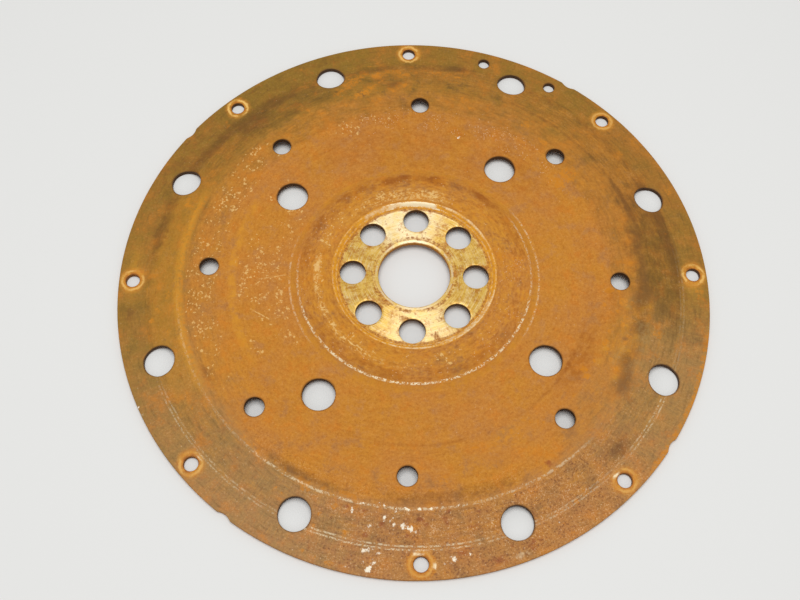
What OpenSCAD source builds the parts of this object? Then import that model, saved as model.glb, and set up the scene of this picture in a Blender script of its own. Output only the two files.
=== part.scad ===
// Flexplate: one disc pressed from steel sheet.
// It has a machined hub recess in a raised collar, a stepped web, a sloping band and a flat rim.
// The plate lies on its rim: the origin is the centre of the rim's underside and +Z is the axis.
// Heights are taken on the upper face, from the bore outwards.

/* [Sheet] */
// Thickness of the steel sheet
sheet_t = 2.5; // [2:0.1:4]
// Inside radius of the bends pressed into the web and rim
press_r = 2; // [1:0.5:4]
// Rounding of the sheared outer edge
edge_r = 0.4; // [0.1:0.1:0.9]
// Width of the rolled edge at the mouth of each punched hole
punch_roll = 0.3; // [0.1:0.1:0.8]

/* [Rim] */
// Outside diameter of the plate
rim_d = 288; // [280:1:330]
// Width of the flat rim
rim_w = 13.2; // [12:0.1:18]
// Width of the sloping band inside the rim
slope_w = 16.8; // [13:0.2:20]
// Height of the outer web above the rim
web_rise = 4.4; // [2:0.1:8]

/* [Web] */
// Width of the outer web inside the sloping band
outer_web_w = 19.5; // [17:0.5:24]
// Width of the ramp down to the inner web
ramp_w = 9; // [6:0.5:11]
// Drop from the outer web to the inner web
web_drop = 1.85; // [0.5:0.05:3]

/* [Collar] */
// Width of the step from the inner web up to the collar
step_w = 4; // [3:0.2:6]
// Height of the collar's outer edge above the inner web
step_rise = 2.25; // [1:0.05:3.5]
// Width of the collar's gently sloping crown
collar_w = 16.8; // [10:0.2:20]
// Rise of the crown from its outer edge to its lip
crown_rise = 1.1; // [0:0.1:2.5]

/* [Hub] */
// Diameter of the machined floor of the hub recess
floor_d = 74; // [73:0.5:80]
// Width of the slanting wall of the recess
wall_w = 2.5; // [2:0.1:4]
// Depth of the recess below the lip
recess_depth = 2.4; // [1:0.1:3]
// Inside radius of the bends at the recess wall
recess_r = 0.8; // [0.2:0.1:1]
// Diameter of the pilot bore
bore_d = 35; // [20:0.5:40]
// Radius rolled over at the mouth of the pilot bore
bore_roll = 0.6; // [0.2:0.1:1.5]

/* [Crank bolts] */
// Number of crank bolt holes
crank_n = 8; // [4:1:8]
// Diameter of the circle through the crank bolt holes
crank_pcd = 60; // [58:0.5:60]
// Diameter of a crank bolt hole
crank_hole_d = 12.6; // [8:0.1:13]

/* [Web holes] */
// Distance of the four large web holes outside the foot of the collar
large_inset = 15.45; // [12:0.05:18]
// Diameter of a large web hole
large_hole_d = 15.4; // [8:0.1:18]
// Angle of the first large web hole
large_turn = 56.25; // [0:0.25:90]
// Distance of the eight small web holes inside the crest of the web
small_inset = 14; // [8:0.5:14.5]
// Diameter of a small web hole
small_hole_d = 9.2; // [5:0.1:10]

/* [Band holes] */
// Distance of the eight band holes from the outer edge
band_inset = 16.3; // [14:0.1:19]
// Diameter of a band hole
band_hole_d = 14.8; // [8:0.1:16]

/* [Rim holes] */
// Distance of the rim bolt holes from the outer edge
rim_inset = 6.7; // [6:0.1:9]
// Diameter of a rim bolt hole
rim_hole_d = 6.7; // [4:0.1:8]
// Angle by which every second rim bolt hole leaves an even spacing
rim_offset = 3; // [-8:0.5:8]
// Distance of the two locating holes from the outer edge
locating_inset = 7.2; // [6:0.1:9]
// Diameter of a locating hole
locating_hole_d = 5.8; // [3:0.1:6.5]
// Angle of each locating hole from the band hole between them
locating_angle = 8; // [7:0.5:9]

/* [Edge notches] */
// Width of a shallow notch in the outer edge
notch_w = 7.2; // [4:0.2:12]
// Depth of a shallow notch in the outer edge
notch_depth = 1.05; // [0.3:0.05:1.6]

/* [Hidden] */
$fn = 96;
rust_brown = [0.75, 0.50, 0.21];
bend_steps = 6;
past = 1;

// Hole counts, and the angle of the first hole in a ring
large_n = 4;
small_n = 8;
band_n = 8;
band_turn = 22.5;
rim_n = 4;
rim_turn = 45;

// Radii on the upper face, from the outside in and then from the bore out
rim_r = rim_d / 2;
rim_inner_r = rim_r - rim_w;
crest_r = rim_inner_r - slope_w;
ramp_top_r = crest_r - outer_web_w;
ramp_foot_r = ramp_top_r - ramp_w;
bore_r = bore_d / 2;
floor_r = floor_d / 2;
lip_r = floor_r + wall_w;
collar_r = lip_r + collar_w;
foot_r = collar_r + step_w;

// Heights of the upper face above the surface that the rim lies on
rim_z = sheet_t;
outer_web_z = rim_z + web_rise;
inner_web_z = outer_web_z - web_drop;
collar_z = inner_web_z + step_rise;
lip_z = collar_z + crown_rise;
floor_z = lip_z - recess_depth;
top_z = max(lip_z, outer_web_z);

// Corners of the upper face and the inside radius of the bend at each one
corners = [
    [bore_r, floor_z],
    [floor_r, floor_z],
    [lip_r, lip_z],
    [collar_r, collar_z],
    [foot_r, inner_web_z],
    [ramp_foot_r, inner_web_z],
    [ramp_top_r, outer_web_z],
    [crest_r, outer_web_z],
    [rim_inner_r, rim_z],
    [rim_r, rim_z]
];
bend_rs = [0, recess_r, recess_r, press_r, press_r, press_r, press_r, press_r, press_r, 0];

// Radius of the cutter that leaves a notch of the chosen width and depth
notch_r = (notch_w * notch_w / 4 + notch_depth * notch_depth) / (2 * notch_depth);

function unit(v) = v / norm(v);

// Points of an arc about a centre
function arc(centre, r, from, sweep) =
    [for (i = [0:bend_steps])
        let (a = from + sweep * i / bend_steps)
        centre + r * [cos(a), sin(a)]];

// One bend of the sheet's face at a given depth below the upper face.
// Both faces of a bend share a centre, so the sheet keeps its thickness.
function bend(before, corner, after, inside_r, depth) =
    let (u = unit(corner - before),
         v = unit(after - corner),
         turn = atan2(cross(u, v), u * v),
         hollow = turn > 0,
         face_r = hollow ? inside_r : inside_r + sheet_t,
         r = hollow ? face_r + depth : face_r - depth,
         centre = corner + unit(v - u) * face_r / cos(turn / 2),
         heading = atan2(u[1], u[0]))
    arc(centre, r, hollow ? heading - 90 : heading + 90, turn);

// All bends of one face, from the hub out to the rim
function face_points(depth) =
    [for (i = [1:len(corners) - 2])
        each bend(corners[i - 1], corners[i], corners[i + 1], bend_rs[i], depth)];

function backwards(points) = [for (i = [len(points) - 1:-1:0]) points[i]];

// Half section of the sheet, with a rolled bore mouth and a rounded outer edge
module section() {
    mouth = arc([bore_r + bore_roll, floor_z - bore_roll], bore_roll, 180, -90);
    upper_edge = arc([rim_r - edge_r, rim_z - edge_r], edge_r, 90, -90);
    lower_edge = arc([rim_r - edge_r, edge_r], edge_r, 0, -90);
    polygon(concat(
        [[bore_r, floor_z - sheet_t]],
        mouth,
        face_points(0),
        upper_edge,
        lower_edge,
        backwards(face_points(sheet_t))
    ));
}

// Cutter for one punched hole whose mouth is at height z
module punch(d, z) {
    translate([0, 0, -past]) cylinder(d = d, h = top_z + 2 * past);
    translate([0, 0, z - punch_roll])
        cylinder(r1 = d / 2, r2 = d / 2 + punch_roll + past, h = punch_roll + past);
}

// Ring of punched holes
module punch_ring(n, r, d, z, turn = 0) {
    for (i = [0:n - 1]) rotate(turn + i * 360 / n) translate([r, 0, 0]) punch(d, z);
}

// Plain holes through the bend between the sloping band and the rim
module band_holes() {
    for (i = [0:band_n - 1]) rotate(band_turn + i * 360 / band_n)
        translate([rim_r - band_inset, 0, -past]) cylinder(d = band_hole_d, h = top_z + 2 * past);
}

// Two locating holes, one each side of a band hole
module locating_holes() {
    middle = band_turn + 360 / band_n;
    for (side = [-1, 1]) rotate(middle + side * locating_angle)
        translate([rim_r - locating_inset, 0, 0]) punch(locating_hole_d, rim_z);
}

// Shallow round notches in the outer edge, in line with the large web holes
module edge_notches() {
    for (i = [0:large_n - 1]) rotate(large_turn + i * 360 / large_n)
        translate([rim_r - notch_depth + notch_r, 0, -past]) cylinder(r = notch_r, h = rim_z + 2 * past);
}

module flexplate() {
    color(rust_brown) difference() {
        rotate_extrude() section();
        punch_ring(crank_n, crank_pcd / 2, crank_hole_d, floor_z);
        punch_ring(large_n, foot_r + large_inset, large_hole_d, inner_web_z, large_turn);
        punch_ring(small_n, crest_r - small_inset, small_hole_d, outer_web_z);
        band_holes();
        punch_ring(rim_n, rim_r - rim_inset, rim_hole_d, rim_z, rim_turn);
        punch_ring(rim_n, rim_r - rim_inset, rim_hole_d, rim_z, rim_offset);
        locating_holes();
        edge_notches();
    }
}

flexplate();
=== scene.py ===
import math

import bpy
import numpy as np
from mathutils import Matrix, Vector
from mathutils.geometry import delaunay_2d_cdt


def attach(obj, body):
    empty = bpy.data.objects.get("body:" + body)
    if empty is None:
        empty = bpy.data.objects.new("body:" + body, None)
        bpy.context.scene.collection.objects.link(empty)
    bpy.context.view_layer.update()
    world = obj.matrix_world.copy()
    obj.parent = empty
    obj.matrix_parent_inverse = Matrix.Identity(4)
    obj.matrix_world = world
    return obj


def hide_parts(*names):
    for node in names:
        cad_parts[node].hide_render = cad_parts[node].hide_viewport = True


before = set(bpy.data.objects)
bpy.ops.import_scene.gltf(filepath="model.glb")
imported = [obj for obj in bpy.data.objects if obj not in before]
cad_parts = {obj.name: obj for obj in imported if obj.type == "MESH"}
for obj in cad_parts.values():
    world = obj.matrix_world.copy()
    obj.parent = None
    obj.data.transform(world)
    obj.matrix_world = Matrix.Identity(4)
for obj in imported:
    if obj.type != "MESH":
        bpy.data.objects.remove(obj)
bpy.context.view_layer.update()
plate_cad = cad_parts["flexplate"]

MM = 0.001

# How the CAD mesh is read: limits for unit normals and slopes, and lengths in millimetres
UPRIGHT = 0.05
LEVEL = 0.9999
FACING = 0.6
LEAST_TURN = 0.02
CENTRE_ROOM = 1
HOLE_ROOM = 0.8
NOTCH_DEPTH = 0.05
STRAIGHT_RUN = 1.2
SLACK = 0.01

# How the finer mesh is made: lengths in millimetres, an angle in degrees and numbers of points
TOP_STEP = 1.3
LOW_STEP = 3.2
WALL_STEP = 0.65
LEAST_RING_GAP = 0.3
EDGE_ROOM = 0.35
HOLE_TOP_ROLL = 0.35
HOLE_LOW_ROLL = 0.12
BORE_LOW_ROLL = 0.15
SMALL_HOLE_R = 4
SMALL_HOLE_RINGS = (0.7, 1.5)
SHARP_ANGLE = 50
ROLL_POINTS = 3
BORE_POINTS = 200
RIM_POINTS = 960
LEAST_HOLE_POINTS = 40


def add_object(name, data):
    """A new object in the scene."""
    ob = bpy.data.objects.new(name, data)
    bpy.context.collection.objects.link(ob)
    return ob


# Reading the shape from the CAD solid

def distance(xy, x=0, y=0):
    """Distance of plan points from a centre, or from the axis."""
    return np.hypot(xy[:, 0] - x, xy[:, 1] - y)


def read_mesh(ob):
    """Points in millimetres, triangles and unit normals of a CAD node."""
    mesh = ob.data
    mesh.calc_loop_triangles()
    points = np.empty(len(mesh.vertices) * 3)
    mesh.vertices.foreach_get("co", points)
    points = points.reshape(-1, 3) / MM
    triangles = np.empty(len(mesh.loop_triangles) * 3, dtype=int)
    mesh.loop_triangles.foreach_get("vertices", triangles)
    triangles = triangles.reshape(-1, 3)
    a, b, c = (points[triangles[:, i]] for i in range(3))
    normals = np.cross(b - a, c - a)
    normals /= np.maximum(np.linalg.norm(normals, axis=1), 1e-12)[:, None]
    return points, triangles, normals


def wall_groups(points, triangles, normals):
    """Plan points of each connected upright wall: the bore, the holes and the outer edge."""
    walls = triangles[np.abs(normals[:, 2]) < UPRIGHT]
    spots, same = np.unique(np.round(points, 3), axis=0, return_inverse=True)
    same = same.reshape(-1)
    parent = list(range(len(spots)))

    def root(i):
        while parent[i] != i:
            parent[i] = parent[parent[i]]
            i = parent[i]
        return i

    for a, b, c in same[walls]:
        parent[root(a)] = root(b)
        parent[root(b)] = root(c)
    groups = {}
    for i in np.unique(same[walls]):
        groups.setdefault(root(i), []).append(spots[i, :2])
    return [np.array(group) for group in groups.values()]


def fit_circle(xy):
    """Centre and radius of the circle through plan points."""
    rows = np.column_stack([2 * xy, np.ones(len(xy))])
    cx, cy, rest = np.linalg.lstsq(rows, (xy ** 2).sum(axis=1), rcond=None)[0]
    return cx, cy, math.sqrt(rest + cx * cx + cy * cy)


def off_axis(circle):
    """Distance of a circle's centre from the axis."""
    return math.hypot(circle[0], circle[1])


def find_openings(groups):
    """The bore radius, the holes, the rim radius and the notches in the outer edge."""
    outer = max(groups, key=lambda xy: distance(xy).max())
    rim_r = distance(outer).max()
    circles = [fit_circle(xy) for xy in groups if xy is not outer]
    bore_r = min(circle[2] for circle in circles if off_axis(circle) < CENTRE_ROOM)
    holes = sorted(circle for circle in circles if off_axis(circle) > CENTRE_ROOM)
    inside = outer[distance(outer) < rim_r - NOTCH_DEPTH]
    quarter = np.floor(np.degrees(np.arctan2(inside[:, 1], inside[:, 0])) / 90)
    notches = [fit_circle(inside[quarter == q]) for q in np.unique(quarter)]
    return bore_r, holes, rim_r, notches


def read_face(points, triangles, normals, side, holes):
    """Radii and heights of the upper face (side 1) or lower face (side -1), clear of the holes."""
    flat = np.unique(triangles[normals[:, 2] * side > LEVEL])
    flat_r = distance(points[flat])
    face = np.unique(triangles[normals[:, 2] * side > FACING])
    xyz = points[face]
    clear = np.ones(len(xyz), dtype=bool)
    for x, y, r in holes:
        clear &= distance(xyz, x, y) > r + HOLE_ROOM
    xyz = xyz[clear]
    face_r = np.round(distance(xyz), 2)
    inside = (face_r > flat_r.min() - SLACK) & (face_r < flat_r.max() + SLACK)
    radii, first = np.unique(face_r[inside], return_index=True)
    return radii, xyz[inside][first, 2]


def corner_radii(face_r, face_z):
    """Radii where the straight runs of a face meet."""
    starts = np.nonzero(np.diff(face_r) > STRAIGHT_RUN)[0]
    slopes = np.diff(face_z)[starts] / np.diff(face_r)[starts]
    corners = []
    for i in range(len(starts) - 1):
        turn = slopes[i] - slopes[i + 1]
        if abs(turn) < LEAST_TURN:
            continue
        a, b = starts[i], starts[i + 1]
        gap = face_z[b] - face_z[a] + slopes[i] * face_r[a] - slopes[i + 1] * face_r[b]
        corners.append(gap / turn)
    return corners


points, triangles, normals = read_mesh(plate_cad)
bore_r, holes, rim_r, notches = find_openings(wall_groups(points, triangles, normals))
top_r, top_z = read_face(points, triangles, normals, 1, holes)
low_r, low_z = read_face(points, triangles, normals, -1, holes)
floor_r, lip_r, collar_r, foot_r, ramp_foot_r, ramp_top_r, crest_r, crease_r = corner_radii(top_r, top_z)


def top_height(x, y):
    """Height of the upper face at plan points."""
    return np.interp(np.hypot(x, y), top_r, top_z)


def low_height(x, y):
    """Height of the lower face at plan points."""
    return np.interp(np.hypot(x, y), low_r, low_z)


# A finer mesh of the same plate

def outline(turn):
    """Radius of the outer edge in each direction, with its notches."""
    edge = np.full(len(turn), rim_r)
    for x, y, r in notches:
        far = math.hypot(x, y)
        off = turn - math.atan2(y, x)
        across = far * np.sin(off)
        reach = far * np.cos(off) - np.sqrt(np.maximum(r * r - across ** 2, 0))
        cut = (np.abs(across) < r) & (np.cos(off) > 0)
        edge = np.where(cut, np.minimum(edge, reach), edge)
    return edge


class Edge:
    """The edge of a hole (side 1) or of the whole plate (side -1)."""

    def __init__(self, x, y, r, count, top_roll, low_roll, side=1):
        self.x, self.y, self.side = x, y, side
        self.turn = np.arange(count) * 2 * math.pi / count
        self.r = np.full(count, r) if side > 0 else outline(self.turn)
        self.top_roll, self.low_roll = top_roll, low_roll

    def roll(self, top):
        """Radius of the rolled mouth on one face."""
        return self.top_roll if top else self.low_roll

    def ring(self, into):
        """Plan points a little way into the metal from the wall."""
        r = self.r + self.side * into
        return np.column_stack([self.x + r * np.cos(self.turn), self.y + r * np.sin(self.turn)])

    def mouth(self, top):
        """Plan points where one face ends and the rolled mouth begins."""
        return self.ring(self.roll(top))

    def depth(self, xy, top):
        """How far plan points lie into the metal from the mouth on one face."""
        far = distance(xy, self.x, self.y)
        if self.side > 0:
            return far - self.r[0] - self.roll(top)
        return outline(np.arctan2(xy[:, 1], xy[:, 0])) - self.roll(top) - far

    def sag(self, top):
        """How far the straight sides of a hole's ring lie inside its circle."""
        if self.side < 0:
            return 0
        return (self.r[0] + self.roll(top)) * (1 - math.cos(math.pi / len(self.r)))

    def mouth_ring(self, top, bend):
        """Points in space on a rolled mouth, at an angle of its bend."""
        roll = self.roll(top)
        drop = roll * (1 - math.cos(bend))
        face = self.mouth(top).T
        z = top_height(*face) - drop if top else low_height(*face) + drop
        return np.column_stack([self.ring(roll * (1 - math.sin(bend))), z])

    def wall(self):
        """Rings between the two faces, downwards."""
        bends = [math.radians(90 * i / ROLL_POINTS) for i in range(1, ROLL_POINTS + 1)]
        upper = [self.mouth_ring(True, bend) for bend in bends]
        lower = [self.mouth_ring(False, bend) for bend in reversed(bends)]
        return upper + lower


def face_rings(face_r, step):
    """Radii for rings of points: every bend of the face, and steps between."""
    kept = [face_r[0]]
    for r in face_r[1:]:
        if r - kept[-1] > LEAST_RING_GAP:
            kept.append(r)
    radii = []
    for a, b in zip(kept[:-1], kept[1:]):
        n = max(1, round((b - a) / step))
        radii.extend(a + (b - a) * i / n for i in range(n))
    return radii[1:]


def face_points(face_r, step, edges, top):
    """Plan points of one face between its edges, on rings about the axis."""
    rows = []
    for i, r in enumerate(face_rings(face_r, step)):
        count = round(2 * math.pi * r / step)
        turn = (np.arange(count) + 0.5 * (i % 2)) * 2 * math.pi / count
        rows.append(np.column_stack([r * np.cos(turn), r * np.sin(turn)]))
    if top:
        for edge in edges:
            if edge.side > 0 and edge.r[0] < SMALL_HOLE_R:
                rows.extend(edge.ring(edge.top_roll + into) for into in SMALL_HOLE_RINGS)
    xy = np.concatenate(rows)
    clear = np.ones(len(xy), dtype=bool)
    for edge in edges:
        clear &= edge.depth(xy, top) > EDGE_ROOM
    return xy[clear]


def fill_face(face_r, step, edges, top):
    """Plan points and triangles of one face, and the places of each edge's points."""
    loops = [edge.mouth(top) for edge in edges]
    xy = np.concatenate(loops + [face_points(face_r, step, edges, top)])
    links, spans, start = [], [], 0
    for loop in loops:
        n = len(loop)
        links.extend((start + i, start + (i + 1) % n) for i in range(n))
        spans.append((start, n))
        start += n
    corners, _, faces, sources, _, _ = delaunay_2d_cdt([Vector(p) for p in xy], links, [], 0, 1e-6)
    plan = np.array([tuple(corner) for corner in corners])
    place = {old: new for new, olds in enumerate(sources) for old in olds}
    faces = np.array(faces)
    middle = plan[faces].mean(axis=1)
    keep = np.ones(len(faces), dtype=bool)
    for edge in edges:
        keep &= edge.depth(middle, top) > -edge.sag(top)
    rings = [[place[start + i] for i in range(n)] for start, n in spans]
    return plan, faces[keep], rings


def plate_edges():
    """The edges of the bore, the rim and every hole."""
    bore_roll = top_r[0] - bore_r
    rim_roll = rim_r - top_r[-1]
    edges = [
        Edge(0, 0, bore_r, BORE_POINTS, bore_roll, BORE_LOW_ROLL),
        Edge(0, 0, rim_r, RIM_POINTS, rim_roll, rim_roll, side=-1),
    ]
    for x, y, r in holes:
        count = max(LEAST_HOLE_POINTS, round(2 * math.pi * r / WALL_STEP))
        edges.append(Edge(x, y, r, count, HOLE_TOP_ROLL, HOLE_LOW_ROLL))
    return edges


def build_plate():
    """The plate as one closed mesh, in millimetres: points and faces."""
    edges = plate_edges()
    top_xy, top_faces, top_rings = fill_face(top_r, TOP_STEP, edges, True)
    low_xy, low_faces, low_rings = fill_face(low_r, LOW_STEP, edges, False)
    xyz = [
        np.column_stack([top_xy, top_height(*top_xy.T)]),
        np.column_stack([low_xy, low_height(*low_xy.T)]),
    ]
    low_start = len(top_xy)
    count = low_start + len(low_xy)
    faces = [tuple(face) for face in top_faces] + [tuple(low_start + face[::-1]) for face in low_faces]
    for edge, upper, lower in zip(edges, top_rings, low_rings):
        rings = [upper]
        for ring in edge.wall():
            xyz.append(ring)
            rings.append(list(range(count, count + len(ring))))
            count += len(ring)
        rings.append([low_start + i for i in lower])
        for a, b in zip(rings[:-1], rings[1:]):
            for i in range(len(a)):
                j = (i + 1) % len(a)
                face = (a[i], a[j], b[j], b[i])
                faces.append(face if edge.side > 0 else face[::-1])
    return np.concatenate(xyz), faces


xyz, faces = build_plate()
mesh = bpy.data.meshes.new("rusted_flexplate")
mesh.from_pydata(xyz * MM, [], faces)
mesh.update()
mesh.shade_smooth()
mesh.set_sharp_from_angle(angle=math.radians(SHARP_ANGLE))
plate = add_object("rusted_flexplate", mesh)
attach(plate, "root")
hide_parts("flexplate")

# Where the plate is worn and stained.
# Angles are in degrees, clockwise from +Y as seen from above, and lengths are in millimetres.

UPPER_FROM = 1.0
FAR_ANGLE = 335
NEAR_ANGLE = 172

point_r = distance(xyz)
point_angle = np.degrees(np.arctan2(xyz[:, 0], xyz[:, 1])) % 360
on_top = xyz[:, 2] > low_height(xyz[:, 0], xyz[:, 1]) + UPPER_FROM
chance = np.random.default_rng(11)


def ease(value, low, high):
    """0 at one value and 1 at another, with a smooth change between."""
    share = np.clip((value - low) / (high - low), 0, 1)
    return share * share * (3 - 2 * share)


def away(angle):
    """Degrees from an angle, from -180 to 180."""
    return (point_angle - angle + 180) % 360 - 180


def towards(angle):
    """1 at an angle, falling to -1 on the opposite side."""
    return np.cos(np.radians(away(angle)))


def sector(first, last, soft):
    """1 between two angles, fading over the soft angle at both ends."""
    half = (last - first) / 2
    return 1 - ease(np.abs(away((first + last) / 2)), half - soft / 2, half + soft / 2)


def belt(inner, outer, soft):
    """1 between two radii, fading over the soft width at both edges."""
    rise = ease(point_r, inner - soft / 2, inner + soft / 2)
    return rise * (1 - ease(point_r, outer - soft / 2, outer + soft / 2))


def spot(angle, radius, along, across, tilt=0):
    """A soft blot, with its size along and across the ring and a tilt in degrees."""
    forward = np.radians(away(angle)) * radius
    outward = point_r - radius
    cos_tilt, sin_tilt = math.cos(math.radians(tilt)), math.sin(math.radians(tilt))
    long_way = (forward * cos_tilt + outward * sin_tilt) / along
    short_way = (outward * cos_tilt - forward * sin_tilt) / across
    return np.exp(-long_way ** 2 - short_way ** 2)


def blots(*marks):
    """Blots given one by one: strength, angle, radius, and size along and across the ring."""
    total = np.zeros(len(xyz))
    for strength, angle, radius, along, across in marks:
        total += strength * spot(angle, radius, along, across)
    return total


def dabs(count, first, last, inner, outer, size, stretch=1.0):
    """Small blots scattered between two angles and two radii."""
    total = np.zeros(len(xyz))
    for _ in range(count):
        angle = chance.uniform(first, last)
        radius = chance.uniform(inner, outer)
        along = size * chance.uniform(0.6, 1.4) * stretch
        total += chance.uniform(0.6, 1.0) * spot(angle, radius, along, size * chance.uniform(0.6, 1.2))
    return total


def around(hole, inner, outer, soft):
    """A ring about a hole's centre."""
    far = distance(xyz, hole[0], hole[1])
    return ease(far, inner - soft, inner) * (1 - ease(far, outer, outer + soft))


# The locating holes in the rim are a little smaller than its bolt holes
all_rim_holes = [hole for hole in holes if off_axis(hole) > crease_r]
bolt_hole_r = max(hole[2] for hole in all_rim_holes)
rim_holes = [hole for hole in all_rim_holes if hole[2] > 0.95 * bolt_hole_r]
near_rim_hole = min(rim_holes, key=lambda hole: hole[1])
crank_holes = [hole for hole in holes if off_axis(hole) < floor_r]
plain_holes = [hole for hole in holes if hole not in rim_holes and hole not in crank_holes]

near_side = ease(towards(NEAR_ANGLE), 0.0, 0.9)
outer_parts = ease(point_r, crest_r - 8, crest_r + 4)
outer_web = belt(ramp_top_r + 2, crest_r - 2, 8)
slope = belt(crest_r, crease_r, 4)

# Rubbed brown metal on the slope and rim, thinning out over the outer web
worn = outer_parts * (0.84 + 0.14 * towards(FAR_ANGLE))
worn -= 0.22 * ease(point_r, crest_r - 4, crest_r + 3) * sector(132, 186, 24)
worn -= 0.22 * slope * np.maximum(sector(-10, 70, 16), sector(230, 292, 20))
worn += 0.12 * ease(point_r, crease_r, crease_r + 3) * sector(285, 345, 20)
worn += outer_web * (0.26 + 0.14 * towards(20))
worn -= 0.25 * outer_web * sector(140, 218, 20)
worn = worn * on_top

# Where the rubbed metal is pale: partly paler metal, partly a painted sheen of the lamp over the near side
pale_and_sheen = outer_parts * np.maximum(near_side, 0.8 * sector(98, 150, 20))
pale_and_sheen += 0.5 * belt(ramp_top_r, crest_r, 6) * sector(110, 255, 20)

# Redder metal above zero, greener below it
ruddy = sector(45, 72, 14) + 0.9 * sector(138, 190, 16)
ruddy -= 0.9 * sector(86, 124, 12) + 0.5 * sector(200, 252, 16) + sector(312, 346, 14)
ruddy += 0.5 * belt(crest_r, crease_r - 2, 3) * sector(-70, 75, 20)

# Deeper brown below zero, golden above it, with painted light on the step face
tone_and_light = -0.4 * belt(collar_r - 4.5, collar_r, 2) * sector(-95, 75, 20)
tone_and_light -= 0.35 * belt(collar_r - 5.5, collar_r, 2.5) * sector(115, 240, 20)
tone_and_light += 0.3 * belt(lip_r + 3, lip_r + 9.5, 2.5)
tone_and_light += 0.25 * belt(lip_r, lip_r + 4, 2) * sector(-60, 90, 20)
# Painted light: the sloped step face from the collar to the foot is lifted against its shade
tone_and_light += 0.35 * belt(collar_r + 1, foot_r + 0.5, 1)
tone_and_light -= 0.14 * belt(foot_r + 11.7, ramp_foot_r + 2.5, 6) * sector(30, 125, 20)
tone_and_light -= 0.14 * belt(foot_r + 11.7, ramp_foot_r + 2.5, 6) * sector(290, 335, 20)
tone_and_light -= 0.3 * belt(ramp_foot_r - 1, ramp_foot_r + 1, 1.4) * sector(110, 205, 24)
tone_and_light += 0.5 * belt(ramp_foot_r + 1, ramp_foot_r + 5, 2) * sector(238, 300, 16)
tone_and_light -= 0.22 * belt(foot_r + 1, ramp_top_r, 6) * sector(-32, 46, 34)
tone_and_light -= 0.25 * belt(ramp_top_r, crest_r, 6) * sector(-60, 110, 40)
tone_and_light -= blots(
    (0.9, 10, 54, 3, 2), (0.8, 344, 53, 2.5, 2), (0.6, 36, 55, 4, 1.4), (0.5, 352, 55, 3, 1.5),
    (0.45, 119, 90, 22, 5),
)
tone_and_light += blots((0.3, 77, 74, 14, 8), (0.3, 99, 73, 12, 7), (0.3, 150, 90, 20, 6))
tone_and_light = tone_and_light * on_top

# Orange rust
bloom = 0.5 * belt(crest_r - 3, crest_r + 1, 2) * sector(238, 294, 14)
bloom += 0.35 * belt(ramp_foot_r + 1, ramp_top_r + 3, 5) * sector(120, 168, 18)
bloom += 0.8 * belt(rim_r - 2.4, rim_r + 2, 1.4) * sector(98, 132, 8)
bloom += 0.32 * belt(crest_r - 6, crease_r - 2.8, 4) * sector(334, 368, 8)
bloom += 0.7 * spot(341, 119, 9, 2.6, tilt=30) + 0.6 * spot(345, 112, 8, 2, tilt=30)
bloom += blots(
    (0.6, 32, 105, 5, 4), (0.7, 39, 102.5, 6, 2), (0.8, 52, 98.5, 6, 6), (0.6, 51, 90, 9, 4),
    (0.7, 332, 140, 2.2, 1.6), (0.6, 326, 129, 2, 1.6), (0.6, 355, 113, 3, 2), (0.7, 257, 128, 2, 2),
    (0.5, 262, 119, 12, 3), (0.5, 286, 118, 10, 3), (0.6, 91, 139, 5, 4), (0.8, 99, 112.6, 4, 3),
    (0.8, 103, 119, 3, 4), (0.7, 108, 106, 4, 3), (0.7, 101, 104, 3, 3), (0.9, 191.8, 128, 2, 2),
    (0.9, 191.6, 113, 1.5, 1.3), (0.9, 194.6, 112.8, 1.6, 1.3), (0.9, 198.8, 113, 2, 1.5),
    (0.8, 198, 129, 2, 1.5), (0.9, 193.3, 141.7, 3, 1.6), (0.8, 196, 141, 1.6, 1.4),
    (0.8, 198.4, 140.4, 1.6, 1.6), (0.8, 170.8, 102.4, 2.6, 2.4), (0.6, 174, 106.5, 2, 1.6),
    (0.9, 145, 131, 2, 1.8), (0.9, 142.5, 129.7, 2.2, 1.8),
)
bloom += 1.3 * dabs(26, 92, 122, crest_r - 23, crest_r - 1, 1.6)
bloom += 1.1 * dabs(9, 193, 210, crest_r - 1, crest_r + 12, 1.4)
bloom += dabs(16, 192, 226, crest_r - 2, crest_r + 0.5, 1.3)
bloom += 0.6 * dabs(14, 130, 185, crest_r + 2, rim_r - 2, 1.6)
bloom += 0.65 * dabs(40, 230, 360, crest_r + 2, rim_r - 2, 1.6, stretch=1.6)
bloom += 0.8 * dabs(18, 0, 90, crest_r - 14, rim_r - 4, 1.6, stretch=1.6)
bloom += 0.55 * around(near_rim_hole, bolt_hole_r + 1, bolt_hole_r + 3, 1.2)
bloom = np.minimum(bloom, 1.2) * on_top

# Red-brown spots
red = blots(
    (1, 184.8, 121.8, 1.8, 1.8), (0.8, 187.7, 127, 2.4, 1.8), (0.9, 179.7, 125.7, 1.8, 1.4),
    (1, 145.8, 111, 2, 2.4), (0.8, 172, 119, 3, 2), (0.7, 166, 124, 4, 2), (0.7, 169, 134, 5, 3),
    (0.7, 163, 140, 6, 3), (0.6, 156, 137, 6, 4), (0.45, 52, 98.5, 5, 5), (0.4, 50, 91, 8, 3),
    (0.4, 48, 106, 3, 4),
)
red += 0.7 * dabs(26, 134, 186, crest_r + 1, rim_r - 1, 1.4)

# Golden rust on the wall of the recess, and in places along the slope and rim
gold = belt(floor_r - 0.6, lip_r + 0.7, 1.0)
gold += 0.7 * dabs(10, 96, 120, crest_r - 18, crest_r, 1.4)
gold += 0.4 * belt(crest_r - 2, crest_r + 2, 1.6) * sector(238, 290, 14)
gold += 0.22 * belt(crest_r, crease_r - 2.8, 4) * sector(236, 294, 14)
gold += 0.9 * spot(96.5, 113.5, 2.5, 2, tilt=20)
gold += blots((0.7, 98, 111, 3, 1.6), (0.4, 269, 137.3, 14, 4), (0.4, 89, 137.3, 7, 5))
gold = np.minimum(gold, 1) * on_top
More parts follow.
